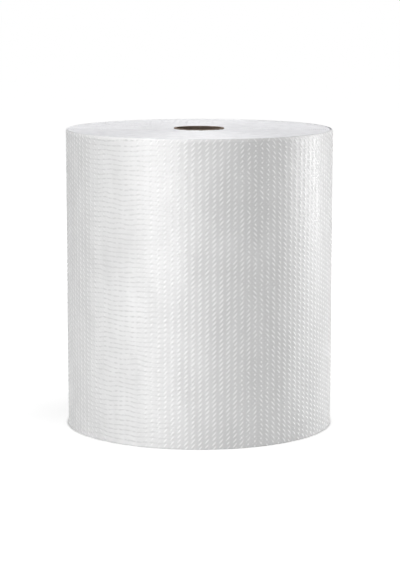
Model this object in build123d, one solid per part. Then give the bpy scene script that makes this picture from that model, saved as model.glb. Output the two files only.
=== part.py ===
from build123d import *
import math
import os

# Roll of bubble film standing on its end, in millimetres.
# The roll's axis is Z, the floor is z = 0 and the origin is the middle of the lower end.

# The roll as it is sold
roll_width = 500.0          # width of the film, so the height of the standing roll
roll_diameter = 447.0       # measured over the free end of the film
film_thickness = 3.4        # one layer as wound: backing film and the bubbles pressed on it
tail_angle = 60.0           # where the film's free end lies, in degrees from +X towards +Y

# The cardboard tube that the film is wound on, with a 3 inch bore
core_bore = 76.2
core_wall = 4.0
core_edge = 0.5             # softened edges of the bore

# The film's edges at the upper end stand in soft crests, one for each pair of layers
layers_per_crest = 2
crest_height = 2.4          # a crest above the joint between two pairs
rim_width = 1.8             # flat edge of the outer layer at its free end, level with the joints

# The bubbles on the outer layer read as upright columns
bubble_columns = 124
column_bulge = 0.45         # a column's crest above the line between two columns

core_radius = core_bore / 2 + core_wall
crest_pitch = film_thickness * layers_per_crest
free_end_radius = (roll_diameter + film_thickness / 2) / 2


def spiral_halves(pitch, end_radius):
    """The outermost turn of a spiral as two half circles, each with its centre on X and its radius.

    The first half runs from +X over +Y to -X. The second comes back over -Y and meets +X
    at the end radius, one pitch further out than the first began.
    """
    second_radius = end_radius - pitch / 4
    return (-pitch / 4, second_radius - pitch / 2), (pitch / 4, second_radius)


def crest_section(centre, outer_radius):
    """Half section of the roll on +X: a flat foot, and a crest at the top for each pitch."""
    joint_height = roll_width - crest_height
    crests = math.ceil((outer_radius - core_radius) / crest_pitch) + 1
    rim = centre + outer_radius + crest_pitch
    section = [(rim, 0), (rim, joint_height)]
    for crest in range(crests):
        joint = centre + outer_radius - crest * crest_pitch
        section += [(joint, joint_height), (joint - crest_pitch / 2, roll_width)]
    inner = section[-1][0] - crest_pitch / 2
    return section + [(inner, joint_height), (inner, 0)]


def half_of_turns(centre, outer_radius, direction):
    """The turns on one side of the X axis, swept round that side's centre."""
    with BuildPart() as half:
        with BuildSketch(Plane.XZ):
            with BuildLine():
                Polyline(*crest_section(centre, outer_radius), close=True)
            make_face()
        revolve(axis=Axis((centre, 0, 0), (0, 0, direction)), revolution_arc=180)
    return half.part


def column_corners(centre, outer_radius, start_angle):
    """Corners between the bubble columns along one half of the outer layer."""
    radius = outer_radius - column_bulge
    count = bubble_columns // 2
    angles = [math.radians(start_angle + 180 * i / count) for i in range(count + 1)]
    return [(centre + radius * math.cos(a), radius * math.sin(a)) for a in angles]


def skin_prism():
    """All that lies inside the outer layer: a bulge for each column, and the free end's step."""
    first, second = spiral_halves(film_thickness, free_end_radius)
    corners = column_corners(*first, 0) + column_corners(*second, 180)[1:]
    with BuildPart() as prism:
        with BuildSketch():
            with BuildLine():
                for start, end in zip(corners, corners[1:]):
                    SagittaArc(start, end, -column_bulge)
                Line(corners[-1], corners[0])
            make_face()
        extrude(amount=roll_width)
    return prism.part


def film_roll():
    """Every turn of the film as one solid, wound tight on the tube."""
    first, second = spiral_halves(crest_pitch, free_end_radius - rim_width)
    turns = half_of_turns(*first, 1) + half_of_turns(*second, -1)
    roll = turns & skin_prism()
    roll -= Pos(0, 0, roll_width / 2) * Cylinder(core_radius, roll_width)
    return Rot(0, 0, tail_angle) * roll


def core_tube():
    """Cardboard tube as long as the film is wide, with the edges of its bore softened."""
    with BuildPart() as tube:
        with BuildSketch():
            Circle(core_radius)
            Circle(core_bore / 2, mode=Mode.SUBTRACT)
        extrude(amount=roll_width)
        bore_edges = tube.edges().filter_by(GeomType.CIRCLE).sort_by(SortBy.RADIUS)[:2]
        chamfer(bore_edges, core_edge)
    return tube.part


os.makedirs("parts", exist_ok=True)
export_step(film_roll(), "parts/film_roll.step")
export_step(core_tube(), "parts/core_tube.step")
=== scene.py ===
import bpy
import math
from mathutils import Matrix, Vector, noise


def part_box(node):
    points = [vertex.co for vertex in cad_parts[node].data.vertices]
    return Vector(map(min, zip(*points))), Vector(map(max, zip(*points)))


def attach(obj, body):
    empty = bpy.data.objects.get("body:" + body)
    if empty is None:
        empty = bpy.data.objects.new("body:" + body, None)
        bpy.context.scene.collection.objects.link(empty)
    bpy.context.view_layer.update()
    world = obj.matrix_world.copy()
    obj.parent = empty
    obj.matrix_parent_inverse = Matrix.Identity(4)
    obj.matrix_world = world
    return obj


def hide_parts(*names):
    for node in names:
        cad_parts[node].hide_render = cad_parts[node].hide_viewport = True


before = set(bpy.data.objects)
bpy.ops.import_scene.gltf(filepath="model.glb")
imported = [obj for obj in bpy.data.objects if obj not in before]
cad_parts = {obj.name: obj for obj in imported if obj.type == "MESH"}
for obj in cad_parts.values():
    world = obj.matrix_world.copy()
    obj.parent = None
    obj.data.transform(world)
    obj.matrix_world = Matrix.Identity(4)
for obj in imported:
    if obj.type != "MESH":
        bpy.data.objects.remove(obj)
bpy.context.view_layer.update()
print("stage: frame loaded")

mm = 0.001
fullTurn = 2 * math.pi

# The roll's own sizes, from the CAD boxes and the film as it is wound
roll = {
    "height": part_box("film_roll")[1].z,
    "coreRadius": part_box("core_tube")[1].x,
    "diameter": 447 * mm,
    "filmThickness": 3.4 * mm,      # one layer
    "tailAngle": math.radians(60),  # where the free end lies
    "columns": 124,                 # bubbles round the outer layer
    "rows": 64,                     # bubbles up one column
}
roll["tailRadius"] = (roll["diameter"] + roll["filmThickness"] / 2) / 2
roll["startRadius"] = roll["tailRadius"] - roll["filmThickness"]


# The outer layers' ends stand a little lower than the rest, most on one side, and are
# tucked in where the film is cut
ends = {
    "lowSide": math.radians(-70),
    "rimDrop": 1.4 * mm,        # at the outer layer, all round
    "rimSwing": 0.7 * mm,       # more on the low side, less opposite
    "shoulder": 9 * mm,         # how far in the drop fades out
    "tuck": 1.1 * mm,
    "tuckHeight": 2.6 * mm,
}
lowSideWay = (math.cos(ends["lowSide"]), math.sin(ends["lowSide"]), 0)


def spiralRadius(angle):
    # the outer layer's radius, with the angle counted from the free end
    return roll["startRadius"] + roll["filmThickness"] * angle / fullTurn


def rimHeight(turned):
    # height of the outer layer's upper edge, with the angle counted from +X
    return roll["height"] - ends["rimDrop"] - ends["rimSwing"] * math.cos(turned - ends["lowSide"])


def tuckAt(z, rim):
    # how far the outer film is tucked in at this height
    low = max(0, 1 - z / ends["tuckHeight"])
    high = max(0, 1 - (rim - z) / ends["tuckHeight"])
    return ends["tuck"] * (low * low + high * high)


# Material helpers

def newMaterial(name, **values):
    # values are set on the shader's own sockets, with _ for a space
    material = bpy.data.materials.new(name)
    material.use_nodes = True
    shader = material.node_tree.nodes["Principled BSDF"]
    for socket, value in values.items():
        shader.inputs[socket.replace("_", " ")].default_value = value
    return material, material.node_tree, shader


def plug(tree, value, socket):
    # value is another node's output, or a plain number, vector or colour
    if isinstance(value, bpy.types.NodeSocket):
        tree.links.new(value, socket)
    else:
        socket.default_value = value


def addNode(tree, kind, inputs=None, **settings):
    made = tree.nodes.new(kind)
    for name, value in settings.items():
        setattr(made, name, value)
    for socket, value in (inputs or {}).items():
        plug(tree, value, made.inputs[socket])
    return made


def calc(tree, operation, *values):
    kind = "ShaderNodeMath"
    made = addNode(tree, kind, dict(enumerate(values)), operation=operation)
    return made.outputs[0]


def clamped(tree, value):
    return addNode(tree, "ShaderNodeClamp", {"Value": value}).outputs[0]


def squared(tree, value):
    # 0 where the value is below 0
    crest = calc(tree, "MAXIMUM", value, 0.0)
    return calc(tree, "MULTIPLY", crest, crest)


def mixed(tree, share, first, second):
    return addNode(tree, "ShaderNodeMix", {"Factor": share, 2: first, 3: second}).outputs[0]


def objectPlace(tree):
    return addNode(tree, "ShaderNodeTexCoord").outputs["Object"]


def placeNoise(tree, place, scale, detail):
    inputs = {"Vector": place, "Scale": scale, "Detail": detail}
    return addNode(tree, "ShaderNodeTexNoise", inputs).outputs["Fac"]


def objectNoise(tree, scale, detail=2.0, stretch=(1, 1, 1)):
    # noise on Object coordinates, in features per metre
    turned = addNode(tree, "ShaderNodeMapping", {"Vector": objectPlace(tree), "Scale": stretch})
    return placeNoise(tree, turned.outputs[0], scale, detail)


def colourRamp(tree, value, stops):
    ramp = addNode(tree, "ShaderNodeValToRGB", {"Fac": value})
    elements = ramp.color_ramp.elements
    for element, (position, colour) in zip(elements, (stops[0], stops[-1])):
        element.position = position
        element.color = (*colour, 1)
    for position, colour in stops[1:-1]:
        elements.new(position).color = (*colour, 1)
    return ramp.outputs["Color"]


def addBump(tree, heights, distance, normal=None):
    # heights is a list of (height, strength), laid one on the other over the normal
    for height, strength in heights:
        inputs = {"Height": height, "Strength": strength, "Distance": distance}
        if normal:
            inputs["Normal"] = normal
        normal = addNode(tree, "ShaderNodeBump", inputs).outputs["Normal"]
    return normal


def roundNormal(tree, share):
    # the normal of the plain round roll, mixed with the surface's own: light that has
    # scattered in many layers of film shows the roll's form more than each bubble's
    level = addNode(
        tree, "ShaderNodeVectorMath", {0: objectPlace(tree), 1: (1, 1, 0)}, operation="MULTIPLY")
    outwards = addNode(tree, "ShaderNodeVectorMath", {0: level.outputs[0]}, operation="NORMALIZE")
    own = addNode(tree, "ShaderNodeNewGeometry").outputs["Normal"]
    both = addNode(tree, "ShaderNodeMix", {"Factor": share}, data_type="VECTOR")
    plug(tree, own, both.inputs[4])
    plug(tree, outwards.outputs[0], both.inputs[5])
    return addNode(
        tree, "ShaderNodeVectorMath", {0: both.outputs[1]}, operation="NORMALIZE").outputs[0]


# Film: milky white where layers lie behind it, under a clear shine that follows each bubble.
# Each bubble has crease strokes aslant, bumped into the film and painted whiter: painted
# highlights, which lean one way and then the other round the roll, as the lamps' highlights do. On
# one side the pulled film has level crease lines instead, painted as a lighter band with darker
# lines of painted shade, on the side where the key lamp's highlight falls.
creasesAndHighlights = {
    "spacing": 2 / 3,               # in columns of bubbles, and one bubble up the column
    "turns": 3,                     # how often the lean changes over and back, round the roll
    "middle": math.radians(-96),    # where the painted strokes lean most to the right, as the lamps' highlights do there
    "uneven": 60,                   # changes of lean per metre
    "faint": 170,                   # changes of depth per metre
    # where the painted level lines of light and shade sit, on the side facing the key lamp
    "paintedLevelLinesAt": math.radians(-124),
    "wobble": (22, 11.0),           # changes per metre, and how far level creases then stray
    "white": 1.3,                   # how far a stroke's painted highlight takes the film to its lighter colour
    "onBase": 0.5,
    "onShine": 0.4,
    "rim": 8 * mm,                  # a painted highlight along the film's upper edge, from this far down
    "rimHighlight": 0.4,
}


# painted highlights: the strokes whiten the film's colour, and their lean follows the lamps
def slantingCreaseHighlights(tree, angle, across, up):
    # strokes up to the left or to the right, whichever lean the place has
    falling = calc(tree, "COSINE", calc(tree, "ADD", across, up))
    rising = calc(tree, "MULTIPLY", calc(tree, "COSINE", calc(tree, "SUBTRACT", across, up)), -1.0)
    around = calc(tree, "SUBTRACT", angle, creasesAndHighlights["middle"])
    lean = calc(tree, "COSINE", calc(tree, "MULTIPLY", around, creasesAndHighlights["turns"]))
    stray = calc(tree, "MULTIPLY_ADD", objectNoise(tree, creasesAndHighlights["uneven"], 2), 4.0, -1.5)
    share = clamped(tree, calc(tree, "MULTIPLY_ADD", lean, 1.2, stray))
    aslant = mixed(tree, share, falling, rising)
    return calc(tree, "POWER", calc(tree, "MAXIMUM", aslant, 0.0), 1.4)


def levelCreasesAndShade(tree, up):
    # rows of bubbles that run into each other, straying up and down; in the colour they become
    # painted shade lines
    scale, reach = creasesAndHighlights["wobble"]
    strayed = calc(tree, "MULTIPLY_ADD", objectNoise(tree, scale, 2), reach, up)
    return squared(tree, calc(tree, "COSINE", strayed))


def bubbleCreasesAndPaintedLight(tree):
    split = addNode(tree, "ShaderNodeSeparateXYZ", {0: objectPlace(tree)}).outputs
    angle = calc(tree, "ARCTAN2", split["Y"], split["X"])
    fromTail = calc(tree, "SUBTRACT", angle, roll["tailAngle"])
    column = calc(tree, "MULTIPLY", fromTail, roll["columns"])
    across = calc(tree, "DIVIDE", column, creasesAndHighlights["spacing"])
    up = calc(tree, "MULTIPLY", split["Z"], fullTurn * roll["rows"] / roll["height"])
    # deepest in the middle of a column, and deeper in some places than in others
    inColumn = calc(tree, "MULTIPLY_ADD", calc(tree, "COSINE", column), -0.5, 0.5)
    spots = calc(tree, "MULTIPLY_ADD", objectNoise(tree, creasesAndHighlights["faint"], 1), 4.0, -1.0)
    depth = calc(tree, "MAXIMUM", spots, 0.0)
    crest = slantingCreaseHighlights(tree, angle, across, up)
    strokes = calc(tree, "MULTIPLY", calc(tree, "MULTIPLY", crest, squared(tree, inColumn)), depth)
    broken = calc(tree, "MULTIPLY", levelCreasesAndShade(tree, up),
                  calc(tree, "MULTIPLY_ADD", inColumn, 0.6, 0.4))
    # painted light and shade: facing the key lamp the film is painted a little lighter, with darker
    # lines between the rows
    paintedLevelLines = calc(tree, "MULTIPLY_ADD", calc(tree, "MULTIPLY", broken, depth), -0.3, 0.16)
    near = calc(tree, "COSINE", calc(tree, "SUBTRACT", angle, creasesAndHighlights["paintedLevelLinesAt"]))
    levelShare = clamped(tree, calc(tree, "MULTIPLY_ADD", near, 8.0, -7.0))
    return mixed(tree, levelShare, strokes, paintedLevelLines)


def rimPaintedHighlight(tree):
    # painted highlight: rises towards the film's upper edge, standing in for the top lamp's light
    # on the rounded edge
    split = addNode(tree, "ShaderNodeSeparateXYZ", {0: objectPlace(tree)}).outputs
    return addNode(tree, "ShaderNodeMapRange", {
        "Value": split["Z"], "From Min": roll["height"] - creasesAndHighlights["rim"],
        "From Max": roll["height"] - ends["rimDrop"], "To Max": creasesAndHighlights["rimHighlight"]}).outputs[0]


# Each finish of the film: its lighter and darker colour, how rough the shine is, how far the
# plain roll's normal stands in for the surface's own, and the cloudy patches, as changes per
# metre and how fine they go
films = {
    "skinFilm": {
        "light": (0.9, 0.9, 0.9), "dark": (0.62, 0.62, 0.62), "shine": 0.2,
        "roundShare": 0.9, "patches": (28, 3)},
    "bubbleFilm": {
        "light": (0.9, 0.9, 0.9), "dark": (0.62, 0.62, 0.62), "shine": 0.2,
        "roundShare": 0.9, "patches": (28, 3)},
    "edgeFilm": {       # edges of the layers
        "light": (0.96, 0.96, 0.98), "dark": (0.76, 0.76, 0.785), "shine": 0.35,
        "roundShare": 0.0, "patches": (60, 6)},
    "paintedShadeFilm": {       # painted shade: a darker film for what shows between them
        "light": (0.66, 0.66, 0.68), "dark": (0.48, 0.48, 0.495), "shine": 0.5,
        "roundShare": 0.0, "patches": (60, 6)},
}


def filmMaterial(name):
    film = films[name]
    material, tree, shader = newMaterial(
        name, Roughness=0.55, IOR=1.6, Specular_IOR_Level=1.0,
        Coat_Weight=0.5, Coat_Roughness=film["shine"], Coat_IOR=1.4,
    )
    white = objectNoise(tree, *film["patches"], (1, 1, 0.4))
    crinkle = objectNoise(tree, 420, 3)
    ripple = objectNoise(tree, 150, 2, (0.2, 0.2, 1))
    shineHeights = [(crinkle, 0.25), (ripple, 0.3)]
    if film["roundShare"]:
        foldsAndPaintedLight = bubbleCreasesAndPaintedLight(tree)
        cloudy = calc(tree, "MULTIPLY", white, 0.5)
        # painted highlights and painted shade: the crease strokes, the level lines and the rim's
        # painted highlight lighten and darken the film's colour
        white = calc(tree, "MULTIPLY_ADD", foldsAndPaintedLight, creasesAndHighlights["white"], cloudy)
        white = calc(tree, "ADD", white, rimPaintedHighlight(tree))
        shineHeights.append((foldsAndPaintedLight, creasesAndHighlights["onShine"]))
        baseHeights = [(crinkle, 0.15), (ripple, 0.4), (foldsAndPaintedLight, creasesAndHighlights["onBase"])]
        base = addBump(tree, baseHeights, 0.3 * mm, roundNormal(tree, film["roundShare"]))
        plug(tree, base, shader.inputs["Normal"])
    stops = [(0.2, film["dark"]), (0.8, film["light"])]
    plug(tree, colourRamp(tree, white, stops), shader.inputs["Base Color"])
    plug(tree, addBump(tree, shineHeights, 0.3 * mm), shader.inputs["Coat Normal"])
    return material


skinFilm, bubbleFilm, edgeFilm, paintedShadeFilm = (filmMaterial(name) for name in films)


# Cardboard: brown board with short fibres and blotches

board = {
    "dark": (0.15, 0.11, 0.08),
    "brown": (0.20, 0.15, 0.112),
    "light": (0.27, 0.207, 0.158),
    "fibres": 900,      # per metre
    "blotches": 60,
}


def boardMaterial():
    material, tree, shader = newMaterial("coreBoard", Roughness=0.85, IOR=1.45)
    fibres = objectNoise(tree, board["fibres"], 4, (1, 1, 0.25))
    blotches = objectNoise(tree, board["blotches"], 3)
    tone = calc(tree, "MULTIPLY_ADD", blotches, 0.5, calc(tree, "MULTIPLY", fibres, 0.5))
    stops = [(0.3, board["dark"]), (0.5, board["brown"]), (0.7, board["light"])]
    plug(tree, colourRamp(tree, tone, stops), shader.inputs["Base Color"])
    plug(tree, addBump(tree, [(fibres, 0.35), (blotches, 0.2)], 0.4 * mm), shader.inputs["Normal"])
    return material


coreBoard = boardMaterial()
print("stage: materials made")


# Mesh and Geometry Nodes helpers

def meshObject(name, corners, faces, *materials):
    mesh = bpy.data.meshes.new(name)
    mesh.from_pydata(corners, [], faces)
    for material in materials:
        mesh.materials.append(material)
    mesh.polygons.foreach_set("use_smooth", [True] * len(faces))
    mesh.update()
    made = bpy.data.objects.new(name, mesh)
    bpy.context.scene.collection.objects.link(made)
    return made


def newTree(name, inputs):
    # inputs maps each label to its socket kind
    tree = bpy.data.node_groups.new(name, "GeometryNodeTree")
    tree.interface.new_socket("Geometry", in_out="OUTPUT", socket_type="NodeSocketGeometry")
    for label, kind in inputs.items():
        tree.interface.new_socket(label, in_out="INPUT", socket_type="NodeSocket" + kind)
    return tree, tree.nodes.new("NodeGroupInput").outputs


def endTree(tree, geometry, material):
    real = addNode(tree, "GeometryNodeRealizeInstances", {"Geometry": geometry})
    smooth = addNode(tree, "GeometryNodeSetShadeSmooth", {"Geometry": real.outputs[0]})
    painted = addNode(
        tree, "GeometryNodeSetMaterial", {"Geometry": smooth.outputs[0], "Material": material})
    tree.links.new(painted.outputs[0], tree.nodes.new("NodeGroupOutput").inputs[0])


def treeResult(name, tree, values):
    # a plain mesh object made by the tree, with no modifier left on it
    carrier = bpy.data.objects.new(name + "Carrier", bpy.data.meshes.new(name + "Carrier"))
    bpy.context.scene.collection.objects.link(carrier)
    modifier = carrier.modifiers.new("nodes", "NODES")
    modifier.node_group = tree
    for item in tree.interface.items_tree:
        if item.in_out == "INPUT":
            modifier[item.identifier] = values[item.name]
    bpy.context.view_layer.update()
    evaluated = carrier.evaluated_get(bpy.context.evaluated_depsgraph_get())
    mesh = bpy.data.meshes.new_from_object(evaluated)
    mesh.name = name
    bpy.data.objects.remove(carrier)
    made = bpy.data.objects.new(name, mesh)
    bpy.context.scene.collection.objects.link(made)
    return made


# Film body: everything inside the outer layer, with the outer film standing as a rim at
# both ends round the sunk ends of the layers inside it

filmBody = {
    "stepsRound": 372,
    "stepsUp": 48,
    "filmGauge": 0.35 * mm,     # the rim's wall, a little thicker than the real film
    "sunk": 3.0 * mm,           # how far the rim stands above the layers' sunk ends
    "under": 0.3 * mm,          # the film between the bubbles lies this far in
    "slack": 0.35 * mm,         # how far the film wanders in and out
    "slackRound": 5.0,          # wanderings per radian, and per metre of height
    "slackUp": 4.0,
}


def slackAt(angle, z):
    turned = angle + roll["tailAngle"]
    place = Vector((math.cos(turned), math.sin(turned), 0)) * filmBody["slackRound"]
    place.z = z * filmBody["slackUp"]
    return filmBody["slack"] * (noise.noise(place) + 0.5 * noise.noise(place * 2.3))


def makeFilmBody():
    b = filmBody
    gauge, sunk, tuckHeight = b["filmGauge"], b["sunk"], ends["tuckHeight"]
    sunkTop = roll["height"] - sunk - ends["rimDrop"]
    corners, faces = [], []
    for i in range(b["stepsRound"] + 1):
        angle = fullTurn * i / b["stepsRound"]
        turned = angle + roll["tailAngle"]
        rim = rimHeight(turned)
        # the outer film's heights, close together where it is tucked in
        wall = [0, tuckHeight / 3, 2 * tuckHeight / 3]
        plain = rim - 2 * tuckHeight
        wall += [tuckHeight + plain * j / b["stepsUp"] for j in range(b["stepsUp"] + 1)]
        wall += [rim - 2 * tuckHeight / 3, rim - tuckHeight / 3, rim]
        # section points: how far in from the outer face, or None at the core, and the height
        section = [(None, sunk), (gauge, sunk), (gauge, 0)]
        section += [(0, z) for z in wall]
        section += [(gauge, rim), (gauge, sunkTop), (None, sunkTop)]
        for inset, z in section:
            radius = roll["coreRadius"]
            if inset is not None:
                radius = spiralRadius(angle) - b["under"] + slackAt(angle, z)
                radius -= inset + tuckAt(z, rim)
            corners.append((radius * math.cos(turned), radius * math.sin(turned), z))
    n = len(section)
    # the rim and the step take the lighter edge film, which paints light over the shade that falls
    # on the rim's inner face
    whichFilm = []      # 0 outside, 1 on the rim and the step, 2 between the layers' edges in the painted-shade film
    for i in range(b["stepsRound"]):
        for j in range(n):
            k = (j + 1) % n
            faces.append((i * n + j, (i + 1) * n + j, (i + 1) * n + k, i * n + k))
            outside = section[j][0] == 0 and section[k][0] == 0
            between = section[j][0] is None or section[k][0] is None
            whichFilm.append(0 if outside else 2 if between else 1)
    last = b["stepsRound"] * n
    faces.append(tuple(range(n)))
    faces.append(tuple(last + j for j in reversed(range(n))))
    made = meshObject("filmBody", corners, faces, skinFilm, edgeFilm, paintedShadeFilm)
    made.data.polygons.foreach_set("material_index", whichFilm + [1, 1])
    made.data.set_sharp_from_angle(angle=math.radians(40))
    return made


body = makeFilmBody()
print("stage: film body made")


# Bubbles: a low dome for each, in staggered columns on the outer film

bubbles = {
    "halfLength": 5.3 * mm,     # along the film, round the roll
    "halfHeight": 3.8 * mm,     # up the roll
    "bulge": 1.0 * mm,
    "flatness": 2.6,            # 2 is a plain dome, more has a flatter top
    "sink": 0.1 * mm,           # a dome's foot below the film's face
    "tilt": (0.3, 0.06, 0.06),  # most that one is turned, tipped up and tipped aside
    "leastFill": (0.72, 0.96, 0.96),    # how full one is: its bulge, length and height
    "mostFill": (1.12, 1.03, 1.03),
    "segments": 12,
    "rings": 6,
    "pieces": 4,                # all bubbles together are too many faces for one object
    "seed": 7,
}


def rimNodes(tree, given, flat):
    # the outer layer's upper edge at this place, as rimHeight does it
    outwards = addNode(tree, "ShaderNodeVectorMath", {0: flat}, operation="NORMALIZE").outputs[0]
    facing = addNode(
        tree, "ShaderNodeVectorMath", {0: outwards, 1: given["Low side"]}, operation="DOT_PRODUCT")
    swing = calc(tree, "MULTIPLY", facing.outputs["Value"], given["Rim swing"])
    return calc(tree, "SUBTRACT", given["Height"], calc(tree, "ADD", swing, given["Rim drop"]))


def bubbleTree():
    kinds = {
        "Skin": "Object", "First column": "Int", "Columns": "Int", "Rows": "Int",
        "Columns round": "Int", "Tail angle": "Float", "Radius": "Float", "Height": "Float",
        "Low side": "Vector", "Rim drop": "Float", "Rim swing": "Float",
        "Tuck": "Float", "Tuck height": "Float",
        "Half length": "Float", "Half height": "Float", "Bulge": "Float", "Flatness": "Float",
        "Sink": "Float", "Tilt": "Vector", "Least fill": "Vector", "Most fill": "Vector",
        "Segments": "Int", "Rings": "Int", "Seed": "Int", "Material": "Material",
    }
    tree, given = newTree("bubbleColumns", kinds)
    # one dome: the upper half of a ball, reshaped to a flatter top with a round shoulder
    ball = addNode(tree, "GeometryNodeMeshUVSphere", {
        "Segments": given["Segments"], "Rings": given["Rings"], "Radius": 1.0})
    place = addNode(tree, "GeometryNodeInputPosition").outputs[0]
    split = addNode(tree, "ShaderNodeSeparateXYZ", {0: place}).outputs
    below = calc(tree, "LESS_THAN", split["Z"], -0.01)
    half = addNode(tree, "GeometryNodeDeleteGeometry", {
        "Geometry": ball.outputs["Mesh"], "Selection": below})
    fallen = calc(tree, "MULTIPLY", split["Z"], -1.0)
    spread = calc(tree, "MAXIMUM", calc(tree, "MULTIPLY_ADD", split["Z"], fallen, 1.0), 0.0)
    shoulder = calc(tree, "POWER", spread, calc(tree, "MULTIPLY", given["Flatness"], 0.5))
    profile = calc(tree, "SUBTRACT", 1.0, shoulder)
    raised = calc(tree, "MULTIPLY", profile, given["Bulge"])
    outward = calc(tree, "SUBTRACT", raised, given["Sink"])
    along = calc(tree, "MULTIPLY", split["X"], given["Half length"])
    up = calc(tree, "MULTIPLY", split["Y"], given["Half height"])
    shape = addNode(tree, "ShaderNodeCombineXYZ", {"X": outward, "Y": along, "Z": up})
    dome = addNode(tree, "GeometryNodeSetPosition", {
        "Geometry": half.outputs[0], "Position": shape.outputs[0]})
    # where the domes go: column by column, every second column half a bubble higher
    count = calc(tree, "MULTIPLY", given["Columns"], given["Rows"])
    points = addNode(tree, "GeometryNodePoints", {"Count": count})
    index = addNode(tree, "GeometryNodeInputIndex").outputs[0]
    inPiece = calc(tree, "FLOOR", calc(tree, "DIVIDE", index, given["Rows"]))
    column = calc(tree, "ADD", inPiece, given["First column"])
    row = calc(tree, "MODULO", index, given["Rows"])
    stagger = calc(tree, "MULTIPLY_ADD", calc(tree, "MODULO", column, 2.0), 0.5, 0.25)
    share = calc(tree, "DIVIDE", calc(tree, "ADD", row, stagger), given["Rows"])
    z = calc(tree, "MULTIPLY", share, given["Height"])
    middle = calc(tree, "DIVIDE", calc(tree, "ADD", column, 0.5), given["Columns round"])
    angle = calc(tree, "MULTIPLY_ADD", middle, fullTurn, given["Tail angle"])
    x = calc(tree, "MULTIPLY", given["Radius"], calc(tree, "COSINE", angle))
    y = calc(tree, "MULTIPLY", given["Radius"], calc(tree, "SINE", angle))
    spot = addNode(tree, "ShaderNodeCombineXYZ", {"X": x, "Y": y, "Z": z})
    skin = addNode(tree, "GeometryNodeObjectInfo", {"Object": given["Skin"]})
    nearest = addNode(tree, "GeometryNodeProximity", {
        "Geometry": skin.outputs["Geometry"], "Sample Position": spot.outputs[0]})
    laid = addNode(tree, "GeometryNodeSetPosition", {
        "Geometry": points.outputs[0], "Position": nearest.outputs["Position"]})
    # some bubbles are filled a little less than others
    fill = addNode(tree, "FunctionNodeRandomValue", {
        "Min": given["Least fill"], "Max": given["Most fill"], "ID": index, "Seed": given["Seed"],
    }, data_type="FLOAT_VECTOR")
    # and none sits quite straight
    askew = addNode(tree, "FunctionNodeRandomValue", {
        "Min": (-1.0, -1.0, -1.0), "Max": (1.0, 1.0, 1.0), "ID": index,
        "Seed": calc(tree, "ADD", given["Seed"], 1.0),
    }, data_type="FLOAT_VECTOR")
    facing = addNode(tree, "ShaderNodeCombineXYZ", {"Z": angle})
    turn = addNode(tree, "ShaderNodeVectorMath", {
        0: askew.outputs["Value"], 1: given["Tilt"], 2: facing.outputs[0],
    }, operation="MULTIPLY_ADD")
    placed = addNode(tree, "GeometryNodeInstanceOnPoints", {
        "Points": laid.outputs[0], "Instance": dome.outputs[0],
        "Rotation": turn.outputs[0], "Scale": fill.outputs["Value"]})
    # the film is cut straight through the bubbles at both ends, and tucked in there
    real = addNode(tree, "GeometryNodeRealizeInstances", {"Geometry": placed.outputs[0]})
    final = addNode(tree, "ShaderNodeSeparateXYZ", {0: place}).outputs
    flat = addNode(tree, "ShaderNodeCombineXYZ", {"X": final["X"], "Y": final["Y"]}).outputs[0]
    rim = rimNodes(tree, given, flat)
    cut = addNode(
        tree, "ShaderNodeClamp", {"Value": final["Z"], "Min": 0.0, "Max": rim}).outputs[0]
    fromRim = calc(tree, "SUBTRACT", rim, cut)
    tucks = []
    for away in (cut, fromRim):
        near = calc(tree, "SUBTRACT", 1.0, calc(tree, "DIVIDE", away, given["Tuck height"]))
        tucks.append(calc(tree, "POWER", calc(tree, "MAXIMUM", near, 0.0), 2.0))
    inwards = calc(tree, "MULTIPLY", calc(tree, "ADD", *tucks),
                   calc(tree, "MULTIPLY", given["Tuck"], -1.0))
    outwards = addNode(tree, "ShaderNodeVectorMath", {0: flat}, operation="NORMALIZE").outputs[0]
    shift = addNode(
        tree, "ShaderNodeVectorMath", {0: outwards, "Scale": inwards}, operation="SCALE").outputs[0]
    cutPlace = addNode(tree, "ShaderNodeCombineXYZ", {"X": final["X"], "Y": final["Y"], "Z": cut})
    trimmed = addNode(tree, "GeometryNodeSetPosition", {
        "Geometry": real.outputs[0], "Position": cutPlace.outputs[0], "Offset": shift})
    endTree(tree, trimmed.outputs[0], given["Material"])
    return tree


def makeBubbles():
    tree = bubbleTree()
    columns = roll["columns"] // bubbles["pieces"]
    made = []
    for i in range(bubbles["pieces"]):
        made.append(treeResult("bubbles%d" % (i + 1), tree, {
            "Skin": body, "First column": i * columns, "Columns": columns, "Rows": roll["rows"],
            "Columns round": roll["columns"], "Tail angle": roll["tailAngle"],
            "Radius": roll["tailRadius"], "Height": roll["height"],
            "Low side": lowSideWay, "Rim drop": ends["rimDrop"], "Rim swing": ends["rimSwing"],
            "Tuck": ends["tuck"], "Tuck height": ends["tuckHeight"],
            "Half length": bubbles["halfLength"], "Half height": bubbles["halfHeight"],
            "Bulge": bubbles["bulge"], "Flatness": bubbles["flatness"], "Sink": bubbles["sink"],
            "Tilt": bubbles["tilt"], "Least fill": bubbles["leastFill"],
            "Most fill": bubbles["mostFill"], "Segments": bubbles["segments"],
            "Rings": bubbles["rings"], "Seed": bubbles["seed"], "Material": bubbleFilm,
        }))
    return made


bubbleParts = makeBubbles()
for part in bubbleParts:
    part.visible_shadow = False     # clear bubbles shade nothing
print("stage: bubbles made", [len(b.data.polygons) for b in bubbleParts])


# Ends of the layers: the backing film's edge runs as one long spiral, and the edge of the
# bubbled film swings between it and the next layer in

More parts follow.
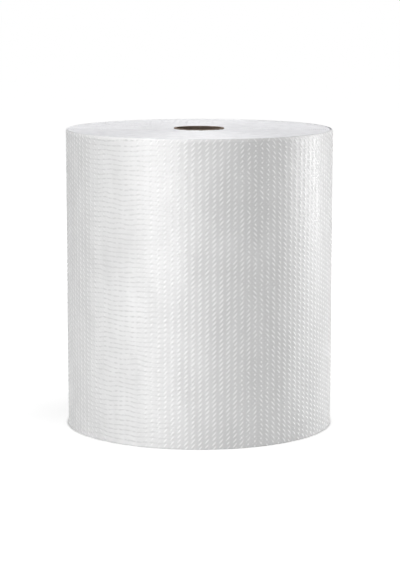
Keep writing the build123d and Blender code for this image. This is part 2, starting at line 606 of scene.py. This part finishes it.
layers = {
    "backingWidth": 0.35 * mm,
    "bubbledWidth": 0.5 * mm,
    "depth": 3.4 * mm,          # how deep the edges are modelled
    "stepsPerTurn": 80,         # for the backing film
    "stepsPerBubble": {"Upper": 8, "Lower": 4},     # for the bubbled film
    "bubbleSwing": 2.7 * mm,    # from the backing to the top of a bubble
    "uneven": 0.9 * mm,         # how far some layers stand lower than others
    "crumple": 0.7 * mm,        # small dents of the bubbled film's edge
    "alongFilm": 1.9,           # changes of height per metre of film
    "patches": 22.0,            # and per metre of the roll's end
    "dents": 170.0,
    "archDrift": 0.11,          # how soon full and low arches swap, per bubble
}
layers["firstRadius"] = roll["coreRadius"] + layers["backingWidth"]
layers["turns"] = (roll["startRadius"] - layers["firstRadius"]) / roll["filmThickness"]
layers["bubblePitch"] = fullTurn * roll["tailRadius"] / roll["columns"]


def filmNoise(tree, along, scale, detail):
    # noise along the film
    inputs = {"W": along, "Scale": scale, "Detail": detail}
    return addNode(tree, "ShaderNodeTexNoise", inputs, noise_dimensions="1D").outputs["Fac"]


def layerTree():
    kinds = {
        "Turns": "Float", "First radius": "Float", "Last radius": "Float", "Steps": "Int",
        "Step length": "Float", "Bubble pitch": "Float", "Swing": "Float", "Width": "Float",
        "Depth": "Float", "Uneven": "Float", "Crumple": "Float", "Height": "Float",
        "Tail angle": "Float", "Upwards": "Float", "Bubbled": "Bool",
        "Low side": "Vector", "Rim drop": "Float", "Rim swing": "Float", "Shoulder": "Float",
        "Material": "Material",
    }
    tree, given = newTree("layerEdges", kinds)
    spiral = addNode(tree, "GeometryNodeCurveSpiral", {
        "Resolution": given["Steps"], "Rotations": given["Turns"], "Height": 0.0,
        "Start Radius": given["First radius"], "End Radius": given["Last radius"]})
    # the spiral ends where the free end of the outer layer starts
    spare = calc(tree, "MULTIPLY_ADD", given["Turns"], -fullTurn, given["Tail angle"])
    turned = addNode(tree, "GeometryNodeTransform", {
        "Geometry": spiral.outputs[0],
        "Rotation": addNode(tree, "ShaderNodeCombineXYZ", {"Z": spare}).outputs[0]})
    even = addNode(tree, "GeometryNodeResampleCurve", {
        "Curve": turned.outputs[0], "Length": given["Step length"]}, mode="LENGTH")
    path = addNode(tree, "GeometryNodeSwitch", {
        "Switch": given["Bubbled"], "False": turned.outputs[0], "True": even.outputs[0],
    }, input_type="GEOMETRY")
    # a bubble stands on every second column as a full arch, and as a low one between them
    length = addNode(tree, "GeometryNodeSplineParameter").outputs["Length"]
    phase = calc(tree, "DIVIDE", length, given["Bubble pitch"])
    inBubble = calc(tree, "SUBTRACT", calc(tree, "FRACT", phase), 0.5)
    fromMiddle = calc(tree, "ABSOLUTE", calc(tree, "MULTIPLY", inBubble, 2.2))
    across = calc(tree, "MINIMUM", fromMiddle, 1.0)
    arch = calc(tree, "SQRT", calc(tree, "SUBTRACT", 1.0, calc(tree, "MULTIPLY", across, across)))
    odd = calc(tree, "MODULO", calc(tree, "FLOOR", phase), 2.0)
    drift = filmNoise(tree, phase, layers["archDrift"], 1.0)
    lowArch = calc(tree, "MULTIPLY_ADD", drift, 0.9, 0.05)
    fullArch = calc(tree, "SUBTRACT", 1.35, lowArch)
    chosen = calc(tree, "ADD", calc(tree, "MULTIPLY", odd, lowArch),
                  calc(tree, "MULTIPLY", calc(tree, "SUBTRACT", 1.0, odd), fullArch))
    swing = calc(tree, "MULTIPLY", calc(tree, "MINIMUM", chosen, 1.0),
                 calc(tree, "MULTIPLY", arch, given["Swing"]))
    inwards = calc(tree, "MULTIPLY", swing, calc(tree, "MULTIPLY", given["Bubbled"], -1.0))
    place = addNode(tree, "GeometryNodeInputPosition").outputs[0]
    outward = addNode(tree, "ShaderNodeVectorMath", {0: place}, operation="NORMALIZE").outputs[0]
    shift = addNode(tree, "ShaderNodeVectorMath", {0: outward, "Scale": inwards},
                    operation="SCALE").outputs[0]
    # layers stand a little higher or lower along the film and in patches
    alongFilm = filmNoise(tree, length, layers["alongFilm"], 3.0)
    patches = placeNoise(tree, place, layers["patches"], 2.0)
    dents = placeNoise(tree, place, layers["dents"], 1.0)
    patchy = calc(tree, "MULTIPLY", calc(tree, "ADD", alongFilm, patches), given["Uneven"])
    uneven = calc(tree, "MULTIPLY_ADD", dents, given["Crumple"], patchy)
    # and the outer ones level with the rim
    radius = addNode(tree, "ShaderNodeVectorMath", {0: place}, operation="LENGTH").outputs["Value"]
    outwardFrom = calc(tree, "SUBTRACT", radius, given["Last radius"])
    nearRim = calc(tree, "EXPONENT", calc(tree, "DIVIDE", outwardFrom, given["Shoulder"]))
    inside = calc(tree, "MULTIPLY", uneven, calc(tree, "SUBTRACT", 1.0, nearRim))
    rimLow = calc(tree, "SUBTRACT", given["Height"], rimNodes(tree, given, place))
    lower = calc(tree, "MULTIPLY_ADD", nearRim, rimLow, inside)
    middle = calc(tree, "MULTIPLY_ADD", given["Depth"], 0.5, lower)
    z = calc(tree, "SUBTRACT", given["Height"], calc(tree, "MULTIPLY", given["Upwards"], middle))
    lift = addNode(tree, "ShaderNodeCombineXYZ", {"Z": z})
    offset = addNode(tree, "ShaderNodeVectorMath", {0: shift, 1: lift.outputs[0]}).outputs[0]
    moved = addNode(
        tree, "GeometryNodeSetPosition", {"Geometry": path.outputs[0], "Offset": offset})
    upright = addNode(tree, "GeometryNodeSetCurveNormal", {"Curve": moved.outputs[0]}, mode="Z_UP")
    # the edge's section is a thin upright wedge, flat at the end that is seen
    wide = calc(tree, "MULTIPLY", given["Width"], calc(tree, "MULTIPLY", given["Upwards"], 0.5))
    deep = calc(tree, "MULTIPLY", given["Depth"], calc(tree, "MULTIPLY", given["Upwards"], 0.5))
    corners = []
    for side in (1.0, -1.0):
        corners.append(addNode(tree, "ShaderNodeCombineXYZ", {
            "X": calc(tree, "MULTIPLY", wide, side), "Y": deep}).outputs[0])
    foot = addNode(
        tree, "ShaderNodeCombineXYZ", {"Y": calc(tree, "MULTIPLY", deep, -1.0)}).outputs[0]
    section = addNode(tree, "GeometryNodeCurvePrimitiveCircle", {"Resolution": 3})
    corner = addNode(tree, "GeometryNodeInputIndex").outputs[0]
    second = addNode(tree, "GeometryNodeSwitch", {
        "Switch": calc(tree, "COMPARE", corner, 1.0, 0.5), "False": corners[0], "True": corners[1],
    }, input_type="VECTOR").outputs[0]
    third = addNode(tree, "GeometryNodeSwitch", {
        "Switch": calc(tree, "COMPARE", corner, 2.0, 0.5), "False": second, "True": foot,
    }, input_type="VECTOR").outputs[0]
    section = addNode(tree, "GeometryNodeSetPosition", {
        "Geometry": section.outputs[0], "Position": third})
    strip = addNode(tree, "GeometryNodeCurveToMesh", {
        "Curve": upright.outputs[0], "Profile Curve": section.outputs[0], "Fill Caps": True})
    endTree(tree, strip.outputs[0], given["Material"])
    return tree


def makeLayerEdges():
    tree = layerTree()
    made = []
    for end, height, upwards in (("Upper", roll["height"], 1.0), ("Lower", 0.0, -1.0)):
        for kind, bubbled in (("backing", False), ("bubbled", True)):
            made.append(treeResult(kind + end, tree, {
                "Turns": layers["turns"], "First radius": layers["firstRadius"],
                "Last radius": roll["startRadius"], "Steps": layers["stepsPerTurn"],
                "Step length": layers["bubblePitch"] / layers["stepsPerBubble"][end],
                "Bubble pitch": layers["bubblePitch"], "Swing": layers["bubbleSwing"],
                "Width": layers[kind + "Width"], "Depth": layers["depth"],
                "Uneven": layers["uneven"], "Crumple": layers["crumple"], "Height": height,
                "Tail angle": roll["tailAngle"], "Upwards": upwards, "Bubbled": bubbled,
                "Low side": lowSideWay, "Rim drop": ends["rimDrop"] * (end == "Upper"),
                "Rim swing": ends["rimSwing"] * (end == "Upper"), "Shoulder": ends["shoulder"],
                "Material": edgeFilm,
            }))
    return made


layerEdges = makeLayerEdges()
print("stage: layer ends made", [len(b.data.polygons) for b in layerEdges])


# Everything rides on the roll's one body
for piece in [body, *bubbleParts, *layerEdges]:
    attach(piece, "root")
    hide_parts("film_roll")

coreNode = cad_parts["core_tube"]
coreNode.data.materials.clear()
coreNode.data.materials.append(coreBoard)
print("stage: pieces ride on the body")


# Floor, camera and light

stage = {
    "floorRadius": 30.0,
    "floorColour": (0.92, 0.92, 0.92),
    "floorGlow": 0.45,          # near the roll
    "farGlow": 1.0,             # and beyond its shadow
    "shadowReach": (0.6, 2.0),
    "footShadowRing": (0.2235, 0.2265),    # painted contact shadow: the floor's glow is cut out in a thin ring round the roll's foot
    "mirroredGlow": 0.7,        # but the film mirrors a floor at least this bright
    "ambient": 0.0,             # the world's own light on the roll
}


def makeFloor():
    material = bpy.data.materials.new("floorPaint")
    material.use_nodes = True
    tree = material.node_tree
    tree.nodes.clear()
    matte = addNode(tree, "ShaderNodeBsdfDiffuse", {"Color": (*stage["floorColour"], 1)})
    away = addNode(
        tree, "ShaderNodeVectorMath", {0: objectPlace(tree)}, operation="LENGTH").outputs["Value"]
    near, far = stage["shadowReach"]
    strength = addNode(tree, "ShaderNodeMapRange", {
        "Value": away, "From Min": near, "From Max": far,
        "To Min": stage["floorGlow"], "To Max": stage["farGlow"]}).outputs[0]
    # painted contact shadow: a thin ring of floor without glow round the roll's foot shows dark
    foot, clear = stage["footShadowRing"]
    outsideFootShadow = addNode(
        tree, "ShaderNodeMapRange", {"Value": away, "From Min": foot, "From Max": clear}).outputs[0]
    strength = calc(tree, "MULTIPLY", strength, outsideFootShadow)
    ray = addNode(tree, "ShaderNodeLightPath").outputs
    mirrored = calc(tree, "MAXIMUM", ray["Is Glossy Ray"], ray["Is Transmission Ray"])
    strength = calc(
        tree, "MAXIMUM", strength, calc(tree, "MULTIPLY", mirrored, stage["mirroredGlow"]))
    glow = addNode(tree, "ShaderNodeEmission", {"Strength": strength})
    seen = calc(tree, "MAXIMUM", ray["Is Camera Ray"], mirrored)
    glowing = addNode(tree, "ShaderNodeMixShader", {0: seen, 2: glow.outputs[0]})
    both = addNode(tree, "ShaderNodeAddShader", {0: matte.outputs[0], 1: glowing.outputs[0]})
    plug(tree, both.outputs[0], addNode(tree, "ShaderNodeOutputMaterial").inputs["Surface"])
    bpy.ops.mesh.primitive_circle_add(vertices=64, radius=stage["floorRadius"], fill_type="NGON")
    floor = bpy.context.object
    floor.name = "floor"
    floor.data.materials.append(material)


def makeWorld():
    world = bpy.data.worlds.new("studio")
    bpy.context.scene.world = world
    world.use_nodes = True
    tree = world.node_tree
    tree.nodes.clear()
    ray = addNode(tree, "ShaderNodeLightPath").outputs
    seen = calc(tree, "MAXIMUM", ray["Is Camera Ray"],
                calc(tree, "MAXIMUM", ray["Is Glossy Ray"], ray["Is Transmission Ray"]))
    room = addNode(
        tree, "ShaderNodeBackground", {"Color": (1, 1, 1, 1), "Strength": stage["ambient"]})
    white = addNode(tree, "ShaderNodeBackground", {"Color": (1, 1, 1, 1), "Strength": 1.0})
    both = addNode(tree, "ShaderNodeMixShader", {0: seen, 1: room.outputs[0], 2: white.outputs[0]})
    plug(tree, both.outputs[0], addNode(tree, "ShaderNodeOutputWorld").inputs["Surface"])


camera = {
    "distance": 3.422,      # from the roll's axis
    "above": 0.2535,        # over the roll's upper end
    "aside": 0.0018,
    "down": math.radians(8.641),
    "lens": 129.06,
    "sensor": 36.0,
}


def makeCamera():
    data = bpy.data.cameras.new("camera")
    data.lens = camera["lens"]
    data.sensor_width = camera["sensor"]
    data.clip_end = 100
    made = bpy.data.objects.new("camera", data)
    made.location = (camera["aside"], -camera["distance"], roll["height"] + camera["above"])
    made.rotation_euler = (math.pi / 2 - camera["down"], 0, 0)
    bpy.context.scene.collection.objects.link(made)
    bpy.context.scene.camera = made


# Each lamp: its bearing from the camera's side of the roll (+ is right), its elevation and
# distance from the roll's middle, its size across and up in metres, and its power in watts
lamps = {
    "key": {"bearing": -30, "elevation": 4, "distance": 2.4, "size": (1.3, 0.8), "power": 28},
    "side": {"bearing": 103, "elevation": 0.5, "distance": 2.4, "size": (1.6, 0.5), "power": 23.5},
    "spark": {"bearing": -16, "elevation": 32, "distance": 2.4, "size": (0.3, 1.6), "power": 3},
    "top": {"bearing": 90, "elevation": 89, "distance": 2.2, "size": (1.8, 1.8), "power": 42},
}


def makeLamps():
    target = Vector((0, 0, roll["height"] / 2))
    for name, lamp in lamps.items():
        data = bpy.data.lights.new(name, "AREA")
        data.shape = "RECTANGLE"
        data.size, data.size_y = lamp["size"]
        data.energy = lamp["power"]
        made = bpy.data.objects.new(name, data)
        bearing, elevation = math.radians(lamp["bearing"]), math.radians(lamp["elevation"])
        level, rise = lamp["distance"] * math.cos(elevation), lamp["distance"] * math.sin(elevation)
        way = Vector((level * math.sin(bearing), -level * math.cos(bearing), rise))
        made.location = target + way
        made.rotation_euler = (target - made.location).to_track_quat("-Z", "Y").to_euler()
        bpy.context.scene.collection.objects.link(made)


makeFloor()
makeWorld()
makeCamera()
makeLamps()
bpy.context.scene.view_settings.view_transform = "Standard"
print("stage: floor, camera and lamps made")
